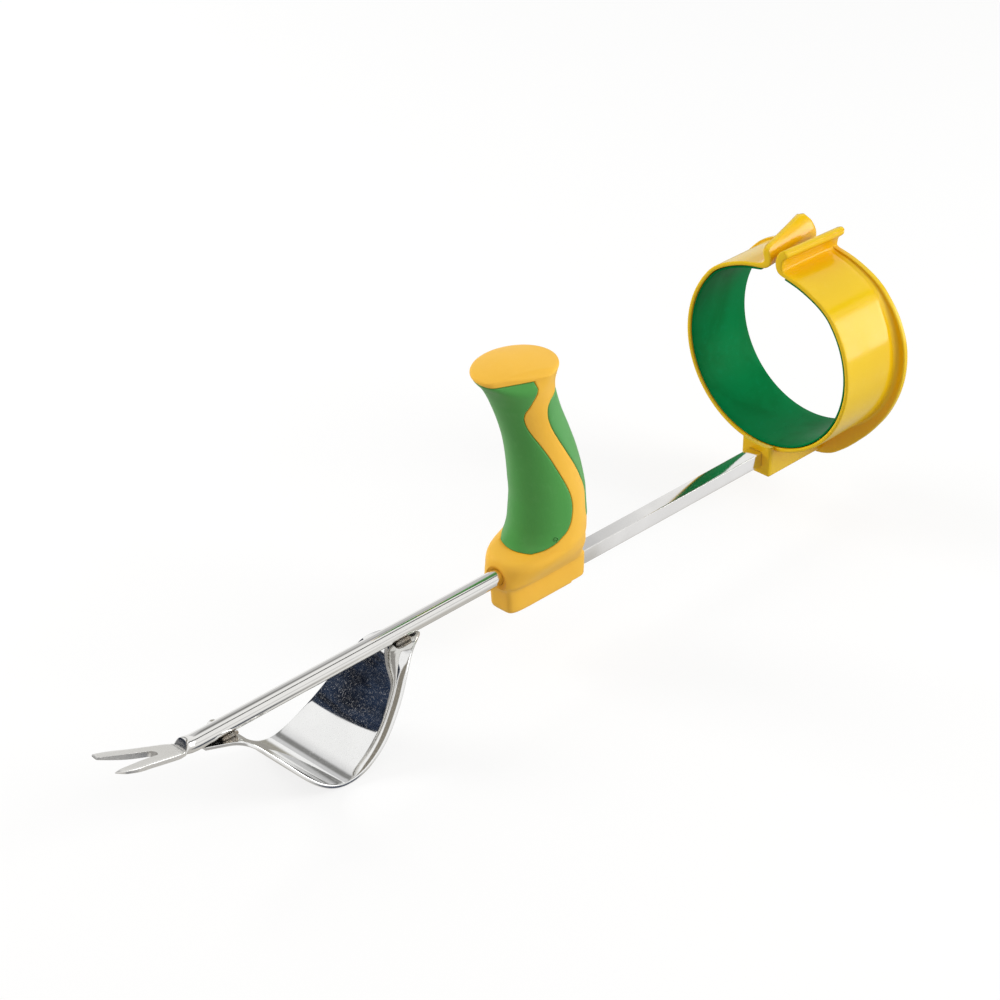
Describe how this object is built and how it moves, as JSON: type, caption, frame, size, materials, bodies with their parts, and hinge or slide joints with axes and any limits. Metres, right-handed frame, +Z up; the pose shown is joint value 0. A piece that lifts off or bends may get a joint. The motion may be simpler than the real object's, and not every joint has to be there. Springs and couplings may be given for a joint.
{
  "type": "hand weeder with arm support",
  "caption": "Garden hand weeder with a forked blade, bent fulcrum sheet, upright soft-pad grip, and a square bar carrying a springy lined forearm cuff.",
  "frame": {"origin": "on the flat underside of the handle's base, 7.5 mm below the support bar's axis and 14 mm ahead of the lock screw, in the tool's middle plane", "axes": "+X along the support bar from the blade towards the cuff, +Z up along the grip, +Y across the tool"},
  "size_m": [0.4718, 0.1144, 0.1559],
  "materials": {
    "polished_steel": "polished stainless",
    "weld_steel": "weld bead",
    "handle_yellow": "satin moulded, orange yellow",
    "cuff_yellow": "glossy moulded, lemon yellow",
    "pad_green": "soft over-moulded elastomer",
    "liner_green": "smooth soft lining",
    "brass": "turned",
    "screw_steel": "zinc plated"
  },
  "bodies": {
    "tool": {"forked_shaft": "polished_steel", "fulcrum_plate": "polished_steel", "weld_front_near": "weld_steel", "weld_front_far": "weld_steel", "weld_rear_near": "weld_steel", "weld_rear_far": "weld_steel", "handle_core": "handle_yellow", "grip_front_pad": "pad_green", "grip_rear_pad": "pad_green", "bar_lock_insert": "brass"},
    "lock_screw": {"bar_lock_screw": "screw_steel"},
    "arm_support": {"support_bar": "polished_steel", "cuff_base": "cuff_yellow", "cuff_liner_base": "liner_green", "cuff_screw": "screw_steel"},
    "cuff_near": {"cuff_near_arm": "cuff_yellow", "cuff_liner_near": "liner_green"},
    "cuff_far": {"cuff_far_arm": "cuff_yellow", "cuff_liner_far": "liner_green"}
  },
  "joints": [
    {"name": "bar_slide", "type": "slide", "parent": "tool", "child": "arm_support", "axis": [1, 0, 0], "range_m": [0, 0.036]},
    {"name": "lock_screw_turn", "type": "hinge", "parent": "tool", "child": "lock_screw", "pos_m": [0.014, 0, 0.0015], "axis": [0, 0, 1], "range_deg": [0, 720]},
    {"name": "cuff_near_flex", "type": "hinge", "parent": "arm_support", "child": "cuff_near", "pos_m": [0.197, -0.03649, 0.02831], "axis": [1, 0, 0], "range_deg": [0, 12]},
    {"name": "cuff_far_flex", "type": "hinge", "parent": "arm_support", "child": "cuff_far", "pos_m": [0.197, 0.03649, 0.02831], "axis": [1, 0, 0], "range_deg": [-12, 0]}
  ],
  "couplings": [
    {"joint": "cuff_far_flex", "follows": "cuff_near_flex", "ratio": -1}
  ]
}
